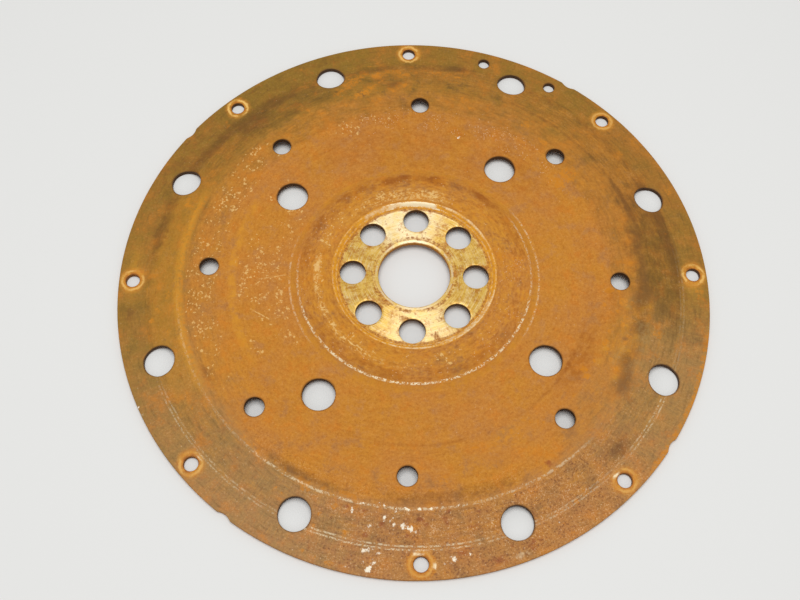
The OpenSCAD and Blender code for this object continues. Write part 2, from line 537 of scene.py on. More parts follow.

# Bare bright steel, and a painted highlight along the far side of the recess wall
recess_wall = belt(floor_r + 1.2, lip_r + 0.3, 0.6)
# Painted highlight on the far side of the recess wall
bare_and_highlight = recess_wall * (0.5 * sector(-42, 16, 10) + 0.35 * sector(-10, 14, 8))
bare_and_highlight += 0.42 * belt(floor_r + 0.5, lip_r, 0.8) * sector(105, 165, 14)
bare_and_highlight += 0.5 * belt(lip_r - 0.1, lip_r + 0.5, 0.6) * sector(100, 150, 14)
bare_and_highlight += 0.5 * belt(lip_r - 0.6, lip_r + 0.7, 0.8) * np.maximum(sector(20, 60, 14), sector(165, 200, 10))
bare_and_highlight += blots(
    (0.8, 177.5, 133, 3, 0.9), (0.8, 135.5, 133, 3, 0.9), (0.5, 225, 133, 3, 0.8),
    (0.9, 174.6, 138, 0.8, 2), (0.4, 159, 141, 6, 2),
)

# Bolt marks on the rim, and how pale the ring about each bolt hole is, by the hole's angle
RING_SHARES = {45: 0.5, 87: 0.8, 135: 0.45, 177: 0.35, 225: 0.5, 267: 0.7, 315: 1.0, 357: 0.75}
RING_REACH = 12
bolt_ring_r = off_axis(near_rim_hole)
halo = belt(crease_r + 1, rim_r, 4)
ring = blots(*((share, angle, bolt_ring_r, RING_REACH, RING_REACH) for angle, share in RING_SHARES.items()))

# Dark stains, and darker lines along the crease and the crest over the far half
soot = 0.55 * belt(crest_r - 5, crest_r - 0.5, 3) * sector(194, 216, 10)
soot += 0.5 * belt(crest_r - 7, crest_r - 0.5, 4) * sector(152, 186, 10)
# Darker along the crease and the crest on the far side
soot += 0.36 * belt(crease_r - 5, crease_r + 0.5, 3.5) * sector(-92, 88, 14)
soot += 0.45 * belt(crest_r - 1, crest_r + 1, 1.4) * sector(14, 76, 14)
soot += 0.6 * belt(crest_r - 5, crease_r + 0.2, 5) * sector(62, 102, 12)
soot += 0.25 * belt(crest_r - 9, crest_r - 1, 3) * sector(78, 124, 10)
soot += belt(crease_r, rim_r, 3) * (0.22 * sector(78, 108, 10) + 0.35 * sector(285, 345, 14))
soot += 0.4 * belt(crease_r - 6.8, crease_r, 3) * sector(288, 328, 14)
soot += 0.5 * belt(crest_r - 3, crest_r + 12, 6) * sector(310, 338, 12)
soot += 0.25 * belt(crest_r - 2, crease_r - 2.8, 4) * sector(338, 368, 8)
soot += blots(
    (0.6, 259.6, 137, 4.5, 4), (0.4, 93, 110, 7, 5), (0.4, 356, 100, 6, 4), (0.35, 245, 110, 12, 1.5),
    (0.35, 94, 95, 6, 4), (0.3, 78, 104, 10, 5), (0.5, 238.8, 109, 6, 3), (0.25, 207, 112, 8, 3),
    (0.5, 353, 113, 5, 3), (0.6, 9, 130, 6, 3), (0.45, 279, 128, 10, 6), (0.4, 314, 121, 8, 4),
    (0.4, 285, 111, 8, 3), (0.3, 260, 108, 8, 3), (0.2, 101, 137, 12, 5), (0.35, 171, 139, 5, 3),
    (0.3, 191, 137, 6, 3), (0.35, 178, 119, 6, 3), (0.4, 103, 109, 4, 6), (0.35, 109, 114, 5, 4),
    (0.3, 97, 107, 4, 3), (0.75, 131, 126, 9, 5), (0.7, 117, 112, 7, 4), (0.55, 112, 108, 5, 3),
    (0.35, 121, 116, 8, 5),
)
soot = soot * on_top

# Pale flecks, larger ones and a fine sprinkle
fleck = 0.9 * belt(foot_r + 3, ramp_foot_r, 6) * sector(238, 302, 20)
fleck += belt(ramp_top_r + 1, crest_r - 4, 6) * sector(238, 312, 14)
fleck += 0.5 * belt(ramp_foot_r + 2, ramp_top_r + 2, 4) * sector(330, 350, 10)
fleck += belt(lip_r + 1.5, lip_r + 8.5, 3) * sector(320, 375, 14)
fleck += 0.5 * belt(lip_r + 3.5, lip_r + 10.5, 3) * sector(150, 330, 20)
sprinkle = 0.65 * belt(ramp_foot_r, ramp_top_r + 3, 5) * sector(-20, 60, 20)
sprinkle += 0.07 * belt(foot_r, crest_r, 6) + 0.3 * belt(lip_r + 2, collar_r, 3)
sprinkle += belt(crest_r, rim_r, 4) * (0.06 + 0.06 * near_side + 0.14 * sector(150, 196, 18))

# Cream dashes and patches, most of them on the collar
dash = belt(lip_r + 6.7, lip_r + 8.9, 1.4) * sector(206, 278, 16)
dash += 0.9 * belt(lip_r + 2.5, lip_r + 7.5, 2) * sector(325, 378, 14)
dash += 0.5 * belt(lip_r + 8, lip_r + 10.5, 1.5) * sector(180, 240, 20)
patch = belt(lip_r + 1.5, lip_r + 8, 2.5) * (0.9 * sector(-34, 18, 12) + 0.1 * sector(285, 330, 20))
patch += 0.9 * belt(lip_r + 6.7, lip_r + 9.3, 1.2) * sector(230, 284, 14)
patch += 0.16 * belt(crest_r - 13, crest_r + 3, 4) * sector(94, 118, 6)

# White chips and painted glints at the near side, with more red spots about them, and one far spot
chip_and_glint = blots(
    (1, 171, 136.1, 1.2, 1.6), (1, 186.5, 141.4, 1.1, 1.5), (1, 186, 139.6, 0.8, 1.2),
    (1, 185.4, 137.9, 0.6, 0.9), (0.9, 187.5, 138.3, 0.8, 0.8), (0.9, 187.7, 133.9, 0.8, 0.8),
    (0.9, 186.7, 132.7, 1.3, 0.9), (1, 182.3, 121.3, 1, 1), (1, 180.5, 121.8, 1.3, 1.2),
    (1, 178.9, 122.6, 1.2, 1.6), (0.9, 187.5, 123, 1.1, 1), (0.8, 185.4, 121.9, 0.8, 0.8),
    (0.8, 191.6, 118.2, 0.7, 2), (1, 182.3, 115.2, 1, 0.9), (1, 179.8, 115, 0.8, 0.9),
    (1, 177.1, 114.7, 1.2, 0.9), (0.9, 174.6, 114.7, 0.9, 0.8), (0.8, 184.7, 113.9, 1.1, 0.7),
    (0.8, 240.1, 143.5, 0.9, 0.6), (0.8, 238.3, 143.3, 0.8, 0.6), (0.8, 142.3, 129.6, 0.8, 1),
    (1, 14.4, 84.4, 1, 1),
)
chip_and_glint += 0.9 * dabs(16, 178, 189, crest_r + 3.5, crest_r + 11, 0.6)
chip_and_glint += 0.9 * dabs(9, 184.6, 187.8, crease_r + 1.2, crease_r + 7.2, 0.55)
chip_and_glint += 0.8 * dabs(10, 168, 200, crest_r - 0.8, crest_r + 1.4, 0.6)
chip_and_glint += 0.8 * dabs(6, 150, 172, crease_r - 2.8, crease_r + 6.2, 0.5)
red += 0.8 * dabs(18, 160, 200, crest_r, crest_r + 13, 1.1)
chip_and_glint += 0.8 * dabs(26, 180, 192, crease_r + 0.2, rim_r - 2, 0.5)
chip_and_glint += 0.7 * dabs(14, 167, 174, crease_r + 1.2, rim_r - 3, 0.5)

# Creases rubbed bright, with painted glints on the near side and a painted highlight on the far lip
crest_rub_and_glint = 0.4 * sector(136, 168, 10) + 0.55 * sector(168, 214, 14) + 0.2 * sector(210, 258, 16)
crease_rub_and_glint = 0.35 * sector(138, 165, 8) + 0.6 * sector(166, 202, 12) + 0.3 * sector(112, 130, 6)
crease_rub_and_glint += 0.3 * sector(202, 242, 14) + 0.12 * sector(84, 136, 14)
collar_rub_and_glint = 0.95 * sector(104, 242, 26) + 0.4 * sector(56, 106, 12) + 0.5 * sector(240, 276, 14)
lip_rub_and_highlight = 0.3 + 0.7 * sector(-24, 20, 12) + 0.35 * sector(100, 205, 20)
rub_foot = 0.4 * sector(54, 118, 16) + 0.35 * sector(235, 285, 20)

# Pitted grain, most of it at the near side
near_grain = 0.25 * near_side + 0.6 * sector(132, 200, 20) + 0.2 * sector(138, 166, 10)
grain = belt(crest_r + 1, rim_r, 4) * (0.12 + near_grain) * on_top
grain += 0.3 * belt(crest_r - 9, crest_r, 4) * sector(150, 220, 14)

# Streaks along the ring, and broken patches of orange and brown
streak = belt(lip_r, collar_r, 2) + 0.3 * belt(collar_r, crest_r, 4) + 0.5 * slope
mottle = 0.15 + 0.9 * belt(lip_r, collar_r, 2) + 0.35 * belt(ramp_foot_r, ramp_top_r + 2, 3)
mottle += 0.8 * belt(crest_r - 10, crest_r + 15, 5) * sector(326, 376, 14)
mottle += 0.7 * ease(point_r, ramp_top_r, ramp_top_r + 8)

# Rust creeping over the machined hub floor
hub_rust = 0.85 * belt(bore_r + 1.5, bore_r + 3.3, 1.4) + 1.1 * belt(floor_r - 0.8, floor_r + 5, 0.9)
for hole in crank_holes:
    hub_rust += 0.35 * around(hole, hole[2], hole[2] + 0.8, 1.0)
hub_rust += blots(
    (0.6, 160, 34, 4, 3), (0.6, 190, 24, 5, 2), (0.5, 8, 23, 5, 2), (0.5, 112, 34, 3, 2),
    (0.5, 80, 35, 3, 2), (0.4, 278, 35, 3, 2), (0.6, 150, 27, 3, 2), (0.5, 222, 25, 4, 3),
    (0.4, 200, 34, 4, 2),
)

# Painted highlight: the turned steel of the hub is painted paler at its far and near sides, where it
# reflects the lamp
painted_hub_sheen = np.maximum(0.75 * sector(318, 380, 22), 0.4 * sector(140, 200, 24))

# The underside is darker; the punched walls are darker too, partly dark rust and partly painted shade, the
# walls of the near bolt holes less so
under = 1.0 - on_top
wall = np.zeros(len(xyz))
for hole in holes:
    share = 0.55 if hole in rim_holes and hole[1] < 0 else 1.0
    wall += share * around(hole, -1, hole[2] + 0.02, 0.05)

TOP_STAINS = {
    "fleck": fleck, "sprinkle": sprinkle, "dash": dash, "patch": patch, "chip_and_glint": chip_and_glint, "bare_and_highlight": bare_and_highlight,
    "halo": halo, "ring": ring, "crest_rub_and_glint": crest_rub_and_glint, "crease_rub_and_glint": crease_rub_and_glint,
    "collar_rub_and_glint": collar_rub_and_glint, "rub_foot": rub_foot, "lip_rub_and_highlight": lip_rub_and_highlight,
}
STAINS = {
    "worn": worn, "pale_and_sheen": pale_and_sheen, "ruddy": ruddy, "tone_and_light": tone_and_light, "bloom": bloom, "red": red, "gold": gold,
    "soot": soot, "grain": grain, "streak": streak, "mottle": mottle, "hub_rust": hub_rust,
    "painted_hub_sheen": painted_hub_sheen, "under": under, "wall": wall,
}
STAINS.update({name: values * on_top for name, values in TOP_STAINS.items()})
for name, values in STAINS.items():
    layer = mesh.attributes.new(name, "FLOAT", "POINT")
    layer.data.foreach_set("value", values.astype(np.float32))


# Materials

def srgb(red, green, blue):
    """A colour as it looks on a screen, turned into linear light."""
    linear = []
    for value in (red, green, blue):
        share = value / 255
        linear.append(share / 12.92 if share <= 0.04045 else ((share + 0.055) / 1.055) ** 2.4)
    return (*linear, 1.0)


class Paint:
    """A material whose nodes are added one call at a time. Its places are in millimetres."""

    def __init__(self, name):
        self.material = bpy.data.materials.new(name)
        self.material.use_nodes = True
        self.tree = self.material.node_tree
        self.surface = self.tree.nodes["Principled BSDF"]
        place = self.tree.nodes.new("ShaderNodeTexCoord").outputs["Object"]
        self.spot = self.vector("MULTIPLY", place, (1 / MM, 1 / MM, 1 / MM))
        self.flat = self.vector("MULTIPLY", self.spot, (1, 1, 0))
        self.unit = self.vector("NORMALIZE", self.flat)
        self.r = self.vector("LENGTH", self.flat, out=1)

    def put(self, socket, value):
        """Link a socket to a node's output, or set it to a plain value."""
        if isinstance(value, bpy.types.NodeSocket):
            self.tree.links.new(value, socket)
        else:
            socket.default_value = value

    def finish(self, name, value):
        """Set one input of the surface."""
        self.put(self.surface.inputs[name], value)

    def vector(self, operation, a, b=None, out=0):
        node = self.tree.nodes.new("ShaderNodeVectorMath")
        node.operation = operation
        self.put(node.inputs[0], a)
        if b is not None:
            self.put(node.inputs[1], b)
        return node.outputs[out]

    def math(self, operation, first, *others):
        """Values joined by an operation, one after another."""
        total = first
        for value in others:
            node = self.tree.nodes.new("ShaderNodeMath")
            node.operation = operation
            self.put(node.inputs[0], total)
            self.put(node.inputs[1], value)
            total = node.outputs[0]
        return total

    def add(self, *values):
        return self.math("ADD", *values)

    def times(self, *values):
        return self.math("MULTIPLY", *values)

    def most(self, *values):
        return self.math("MAXIMUM", *values)

    def swing(self, value, amount):
        """A noise value turned into a push either way."""
        return self.times(self.math("SUBTRACT", value, 0.5), amount)

    def ease(self, value, low, high):
        """0 at one value and 1 at another, with a smooth change between."""
        node = self.tree.nodes.new("ShaderNodeMapRange")
        node.interpolation_type = "SMOOTHSTEP"
        self.put(node.inputs[0], value)
        self.put(node.inputs[1], low)
        self.put(node.inputs[2], high)
        return node.outputs[0]

    def noise(self, place, scale, detail=3, rough=0.55):
        node = self.tree.nodes.new("ShaderNodeTexNoise")
        self.put(node.inputs["Vector"], place)
        self.put(node.inputs["Scale"], scale)
        self.put(node.inputs["Detail"], detail)
        self.put(node.inputs["Roughness"], rough)
        return node.outputs[0]

    def ring_noise(self, turn_scale, radius_scale, detail=2):
        """Noise drawn out along or across the ring."""
        node = self.tree.nodes.new("ShaderNodeCombineXYZ")
        self.put(node.inputs["Z"], self.times(self.r, radius_scale))
        around_it = self.vector("MULTIPLY", self.unit, (turn_scale, turn_scale, 0))
        return self.noise(self.vector("ADD", around_it, node.outputs[0]), 1.0, detail)

    def cells(self, scale, shake):
        """Distance to the middle of a scattered cell, and two random numbers for each cell."""
        drift = self.tree.nodes.new("ShaderNodeTexNoise")
        self.put(drift.inputs["Vector"], self.spot)
        self.put(drift.inputs["Scale"], 2 * scale)
        push = self.vector("SUBTRACT", drift.outputs["Color"], (0.5, 0.5, 0.5))
        push = self.vector("MULTIPLY", push, (shake / scale, shake / scale, 0))
        node = self.tree.nodes.new("ShaderNodeTexVoronoi")
        node.voronoi_dimensions = "2D"
        self.put(node.inputs["Vector"], self.vector("ADD", self.spot, push))
        self.put(node.inputs["Scale"], scale)
        parts = self.tree.nodes.new("ShaderNodeSeparateColor")
        self.put(parts.inputs[0], node.outputs["Color"])
        return node.outputs["Distance"], parts.outputs[0], parts.outputs[1]

    def dots(self, scale, size, density, shake=0.8):
        """Scattered marks of mixed sizes: more of them where the density is higher."""
        far, draw, grade = self.cells(scale, shake)
        far = self.math("DIVIDE", far, self.add(grade, 0.4))
        near = self.ease(far, size, size * 0.6)
        return self.times(near, self.ease(self.math("SUBTRACT", density, draw), 0.0, 0.06))

    def stain(self, name):
        """The strength of a stain, from the mesh."""
        node = self.tree.nodes.new("ShaderNodeAttribute")
        node.attribute_name = name
        return node.outputs["Fac"]

    def ragged(self, name, limits, onset, *pushes):
        """A stain with an edge broken up by noise. The onset keeps the noise off clean places."""
        stain = self.stain(name)
        return self.times(self.ease(self.add(stain, *pushes), *limits), self.ease(stain, *onset))

    def mix(self, share, a, b):
        """A colour between two others."""
        node = self.tree.nodes.new("ShaderNodeMix")
        node.data_type = "RGBA"
        self.put(node.inputs[0], share)
        self.put(node.inputs[6], a)
        self.put(node.inputs[7], b)
        return node.outputs[2]

    def coat(self, under, over, *shares):
        """One colour laid over another, by the product of the shares."""
        return self.mix(self.times(*shares), under, over)

    def blend(self, share, a, b):
        """A plain number between two others."""
        node = self.tree.nodes.new("ShaderNodeMix")
        self.put(node.inputs[0], share)
        self.put(node.inputs[2], a)
        self.put(node.inputs[3], b)
        return node.outputs[0]

    def line(self, radius, half, wobble):
        """1 on a circle about the axis, fading out over a small width."""
        off = self.math("ABSOLUTE", self.add(self.r, -radius, wobble), 0.0)
        return self.ease(off, half, half * 0.3)

    def hole_edge(self, circles):
        """Distance from the edge of the nearest of these holes."""
        gaps = []
        for x, y, radius in circles:
            far = self.vector("DISTANCE", self.flat, (x, y, 0), out=1)
            gaps.append(self.math("SUBTRACT", far, radius))
        return self.math("MINIMUM", *gaps)

    def scratch(self, first, last, half):
        """1 along a straight scratch between two places, each an angle and a radius."""
        ends = [(r * math.sin(math.radians(a)), r * math.cos(math.radians(a))) for a, r in (first, last)]
        (x, y), (far_x, far_y) = ends
        length = math.hypot(far_x - x, far_y - y)
        ahead = ((far_x - x) / length, (far_y - y) / length, 0)
        aside = (-ahead[1], ahead[0], 0)
        offset = self.vector("SUBTRACT", self.spot, (x, y, 0))
        run = self.vector("DOT_PRODUCT", offset, ahead, out=1)
        side = self.math("ABSOLUTE", self.vector("DOT_PRODUCT", offset, aside, out=1), 0.0)
        inside = self.times(self.ease(run, 0, 1), self.ease(run, length, length - 1))
        return self.times(inside, self.ease(side, half, half * 0.3))

    def bump(self, height, depth):
        node = self.tree.nodes.new("ShaderNodeBump")
        self.put(node.inputs["Height"], height)
        self.put(node.inputs["Distance"], depth)
        self.put(node.inputs["Strength"], 1.0)
        self.finish("Normal", node.outputs[0])


OCHRE = srgb(194, 128, 42)
RUST_PINK = srgb(190, 123, 54)
RUST_DEEP = srgb(156, 90, 28)
RUST_RED = srgb(146, 74, 38)
RUST_WARM = srgb(202, 122, 38)
RUST_MAUVE = srgb(182, 124, 70)
RUST_LIGHT = srgb(218, 154, 74)
ORANGE = srgb(206, 130, 30)
GOLD = srgb(212, 146, 44)
GOLD_BRIGHT = srgb(228, 160, 44)
OLIVE = srgb(142, 108, 32)
OLIVE_DARK = srgb(112, 80, 30)
BROWN = srgb(160, 106, 36)
TAN = srgb(160, 125, 74)
MAUVE = srgb(170, 117, 72)
BROWN_DARK = srgb(92, 58, 28)
GRAIN_BROWN = srgb(124, 74, 42)
WALL_RUST_AND_SHADE = srgb(64, 40, 22)
CREAM = srgb(232, 190, 120)
PINK_WHITE = srgb(238, 204, 162)
CREAM_GOLD = srgb(244, 198, 112)
CHALK = srgb(248, 236, 212)
BARE_STEEL = srgb(250, 234, 194)
STRAW = srgb(230, 186, 74)
STRAW_DARK = srgb(212, 164, 48)
STRAW_BROWN = srgb(190, 118, 40)
STRAW_HIGHLIGHT = srgb(254, 244, 200)
FLOOR_GREY = srgb(228, 228, 226)

# Ends of the long scratches, each an angle and a radius, and half their width
SCRATCHES = (((255, 81), (248, 72)), ((266, 76), (268, 62)))
SCRATCH_HALF = 0.45


class RustPaint(Paint):
    """A paint with the noises that all the layers of rust share."""

    def __init__(self, name):
        super().__init__(name)
        self.big = self.noise(self.spot, 0.035, 3)
        self.mid = self.noise(self.spot, 0.16, 4)
        self.other = self.noise(self.vector("ADD", self.spot, (300, 100, 50)), 0.11, 4, 0.6)
        self.lump = self.noise(self.spot, 0.45, 5, 0.7)
        self.grit = self.noise(self.spot, 1.6, 3, 0.7)
        self.fine = self.noise(self.vector("ADD", self.spot, (40, 70, 20)), 0.85, 4, 0.8)
        self.along = self.ring_noise(16, 0.8, 3)
        self.brush = self.ring_noise(150, 0.07, 2)


def plain_rust(p):
    """The rust itself, mottled, grainy and streaked."""
    clouds = p.add(p.other, p.swing(p.lump, 0.5))
    streak = p.stain("streak")
    colour = p.coat(OCHRE, RUST_PINK, p.ease(p.big, 0.38, 0.64), 0.8)
    colour = p.coat(colour, RUST_WARM, p.ease(clouds, 0.5, 0.72), 0.7)
    colour = p.coat(colour, RUST_MAUVE, p.ease(clouds, 0.5, 0.28), 0.8)
    colour = p.coat(colour, RUST_DEEP, p.ease(p.lump, 0.5, 0.8), 0.35)
    colour = p.coat(colour, RUST_LIGHT, p.ease(p.lump, 0.5, 0.22), 0.3)
    colour = p.coat(colour, RUST_DEEP, p.ease(p.grit, 0.52, 0.8), 0.6)
    colour = p.coat(colour, RUST_LIGHT, p.ease(p.grit, 0.48, 0.2), 0.5)
    colour = p.coat(colour, RUST_DEEP, p.ease(p.fine, 0.5, 0.72), 0.55)
    colour = p.coat(colour, RUST_LIGHT, p.ease(p.fine, 0.5, 0.28), 0.5)
    colour = p.coat(colour, RUST_DEEP, p.ease(p.along, 0.5, 0.7), streak, 0.6)
    colour = p.coat(colour, GOLD, p.ease(p.along, 0.5, 0.3), streak, 0.6)
    # The tone also carries the painted light on the step face
    tone_and_light = p.times(p.stain("tone_and_light"), p.add(1.0, p.swing(p.lump, 3.0), p.swing(p.mid, 3.0)))
    colour = p.coat(colour, RUST_DEEP, p.ease(tone_and_light, 0.0, -1.0))
    return p.coat(colour, GOLD, p.ease(tone_and_light, 0.0, 1.1))


def rubbed_metal(p):
    """Brown metal with the rust rubbed thin, paler at the near side, partly as a painted sheen."""
    pale_and_sheen = p.stain("pale_and_sheen")
    hue = p.add(p.other, p.swing(p.lump, 0.4), p.times(p.stain("ruddy"), 0.14))
    hue = p.ease(hue, 0.24, 0.76)
    # Paler metal, with the painted sheen of the near side
    metal = p.mix(pale_and_sheen, p.mix(hue, OLIVE, BROWN), p.mix(hue, TAN, MAUVE))
    metal = p.coat(metal, OLIVE_DARK, p.ease(p.along, 0.5, 0.75), 0.45)
    metal = p.coat(metal, GOLD, p.ease(p.along, 0.5, 0.25), p.stain("streak"), 0.4)
    metal = p.coat(metal, OLIVE_DARK, p.ease(p.lump, 0.5, 0.8), 0.4)
    metal = p.coat(metal, OLIVE_DARK, p.ease(p.fine, 0.5, 0.75), 0.3)
    metal = p.coat(metal, RUST_LIGHT, p.ease(p.fine, 0.5, 0.25), 0.22)
    return p.coat(metal, RUST_LIGHT, p.ease(p.brush, 0.5, 0.75), p.add(0.06, p.times(pale_and_sheen, 0.18)))


def stained(p, colour):
    """Broken patches, and orange, red, gold and dark stains."""
    clouds = p.add(p.other, p.swing(p.lump, 0.6))
    mottle = p.stain("mottle")
    colour = p.coat(colour, ORANGE, mottle, p.ease(clouds, 0.55, 0.75), 0.48)
    colour = p.coat(colour, BROWN_DARK, mottle, p.ease(clouds, 0.45, 0.22), 0.34)
    bloom = p.ragged("bloom", (0.35, 0.75), (0.03, 0.25), p.swing(p.mid, 0.6), p.swing(p.lump, 1.3))
    colour = p.coat(colour, ORANGE, bloom, p.ease(p.add(p.lump, p.swing(p.fine, 1.2)), 0.25, 0.65), 0.85)
    red = p.ragged("red", (0.35, 0.85), (0.05, 0.3), p.swing(p.lump, 1.2))
    colour = p.coat(colour, RUST_RED, red, 0.7)
    gold = p.times(p.stain("gold"), p.ease(p.add(p.along, p.swing(p.lump, 0.8)), 0.2, 0.6))
    colour = p.mix(gold, colour, p.mix(p.ease(p.lump, 0.46, 0.7), GOLD_BRIGHT, ORANGE))
    soot = p.ragged("soot", (0.1, 1.0), (0.03, 0.25), p.swing(p.mid, 0.8), p.swing(p.lump, 0.8))
    colour = p.coat(colour, BROWN_DARK, soot, 0.6)
    return p.coat(colour, BROWN_DARK, p.stain("under"), 0.35)


def pitted(p, colour):
    """Dark pits and pale grains."""
    grain = p.stain("grain")
    pits = p.ease(p.add(p.fine, p.swing(p.mid, 0.4)), 0.52, 0.7)
    grains = p.ease(p.add(p.grit, p.swing(p.fine, 0.6), p.swing(p.mid, 0.4)), 0.44, 0.26)
    colour = p.coat(colour, GRAIN_BROWN, grain, pits, 0.85)
    return p.coat(colour, PINK_WHITE, grain, grains, 0.5)


def flecked(p, colour):
    """Pale flecks, a fine sprinkle, cream patches and dashes."""
    clump = p.ease(p.add(p.mid, p.swing(p.big, 0.6)), 0.42, 0.62)
    clumped = p.times(p.stain("fleck"), clump)
    large = p.dots(0.5, 0.34, p.times(clumped, 0.5), shake=1.4)
    small = p.dots(0.9, 0.36, p.times(clumped, 0.32), shake=1.4)
    sprinkle = p.dots(1.3, 0.36, p.times(p.stain("sprinkle"), clump, 0.5))
    patch = p.ease(p.add(p.mid, p.swing(p.lump, 1.4), p.swing(p.fine, 1.4)), 0.5, 0.68)
    dash = p.ease(p.add(p.ring_noise(26, 1.1, 3), p.swing(p.lump, 0.6)), 0.5, 0.64)
    colour = p.coat(colour, CREAM, p.most(large, small), 0.68)
    colour = p.coat(colour, PINK_WHITE, sprinkle, 0.4)
    colour = p.coat(colour, CREAM, p.stain("patch"), patch, 0.8)
    return p.coat(colour, CREAM, p.stain("dash"), dash, 0.75)


def scratched(p, colour):
    """Long broken scratches, on the upper face alone."""
    breaks = p.ease(p.add(p.lump, p.swing(p.grit, 0.8)), 0.42, 0.56)
    upper = p.math("SUBTRACT", 1.0, p.stain("under"))
    for first, last in SCRATCHES:
        colour = p.coat(colour, CREAM, p.scratch(first, last, SCRATCH_HALF), upper, breaks, 0.7)
    return colour


def bolt_marked(p, colour):
    """Round marks of the bolt heads about the rim holes, and dirt at the edges of the other holes."""
    halo = p.stain("halo")
    edge = p.add(p.hole_edge(rim_holes), p.swing(p.mid, 2.4), p.swing(p.lump, 2.0))
    mark = p.mix(p.ease(p.fine, 0.4, 0.6), GOLD, RUST_WARM)
    colour = p.coat(colour, mark, p.ease(edge, 4.6, 1.6), halo, p.ease(p.lump, 0.1, 0.6), 0.8)
    ring = p.times(p.ease(edge, 1.0, 1.6), p.ease(edge, 2.8, 2.0), p.stain("ring"))
    colour = p.coat(colour, CREAM_GOLD, ring, p.ease(p.add(p.mid, p.swing(p.fine, 0.6)), 0.34, 0.56))
    colour = p.coat(colour, RUST_DEEP, p.ease(edge, 0.7, 0.2), halo, 0.75)
    fringe = p.add(p.hole_edge(plain_holes), p.swing(p.fine, 1.6), p.swing(p.mid, 1.6))
    return p.coat(colour, BROWN_DARK, p.ease(fringe, 0.8, 0.1), 0.6)


def bright_metal(p):
    """How bare the steel is, with painted glints and highlights: along the rubbed creases, and in single
    places.
    """
    loose = p.swing(p.mid, 1.0)
    tight = p.swing(p.mid, 0.4)
    creases = (
        ("crest_rub_and_glint", crest_r + 0.6, 0.9, loose),
        ("crease_rub_and_glint", crease_r - 0.9, 0.6, loose),
        ("crease_rub_and_glint", crease_r + 0.6, 0.6, loose),
        ("collar_rub_and_glint", collar_r + 0.5, 0.8, tight),
        ("rub_foot", foot_r + 0.5, 0.7, tight),
        ("lip_rub_and_highlight", floor_r + 0.9, 0.45, tight),
        ("lip_rub_and_highlight", lip_r + 0.1, 0.45, tight),
    )
    rubs = [p.times(p.line(radius, half, wobble), p.stain(name)) for name, radius, half, wobble in creases]
    breaks = p.ease(p.add(p.lump, p.swing(p.along, 0.4), p.swing(p.fine, 2.2)), 0.46, 0.62)
    # Bare steel, with the painted highlight of the far recess wall
    bare_and_highlight = p.ragged("bare_and_highlight", (0.2, 0.8), (0.05, 0.2), p.swing(p.lump, 0.9), p.swing(p.mid, 0.6))
    return p.most(p.times(p.most(*rubs), breaks), bare_and_highlight)


def lip_dirt(p, colour):
    """Dark lines at the foot and the lip of the recess wall."""
    breaks = p.ease(p.add(p.lump, p.swing(p.mid, 1.0)), 0.42, 0.6)
    for radius in (floor_r + 0.1, lip_r + 0.9):
        colour = p.coat(colour, RUST_DEEP, p.line(radius, 0.6, p.swing(p.mid, 0.6)), breaks, 0.4)
    return colour


def surface_rust():
    """Rust over pressed steel, rubbed to brown metal on the rim and bare on the creases."""
    p = RustPaint("surface_rust")
    rubbing = (p.swing(p.mid, 0.8), p.swing(p.along, 0.4), p.swing(p.lump, 0.5))
    worn = p.ragged("worn", (-0.1, 1.0), (0.0, 0.15), *rubbing)
    chip_and_glint = p.ragged("chip_and_glint", (0.45, 0.65), (0.1, 0.25), p.swing(p.grit, 1.2), p.swing(p.fine, 1.2))
    bright = bright_metal(p)

    colour = p.mix(worn, plain_rust(p), rubbed_metal(p))
    colour = flecked(p, pitted(p, stained(p, colour)))
    # White chips, and painted glints of the lamp on the near rim
    colour = p.coat(colour, CHALK, chip_and_glint)
    colour = lip_dirt(p, bolt_marked(p, scratched(p, colour)))
    # Bare steel, with the painted glints on the near creases and the painted highlight on the far recess
    # wall
    colour = p.coat(colour, BARE_STEEL, bright, 0.9)
    # Dark rust and painted shade on the punched walls
    colour = p.coat(colour, WALL_RUST_AND_SHADE, p.stain("wall"), 0.85)

    p.finish("Base Color", colour)
    p.finish("Roughness", p.blend(p.most(p.times(worn, 0.75), bright, chip_and_glint), 0.82, 0.4))
    p.finish("Metallic", p.times(bright, 0.1))
    p.finish("Specular IOR Level", 0.2)
    roughened = p.times(p.stain("grain"), p.swing(p.grit, 0.8))
    p.bump(p.add(p.times(p.lump, 0.6), p.times(p.grit, 0.5), roughened), 0.14 * MM)
    return p.material


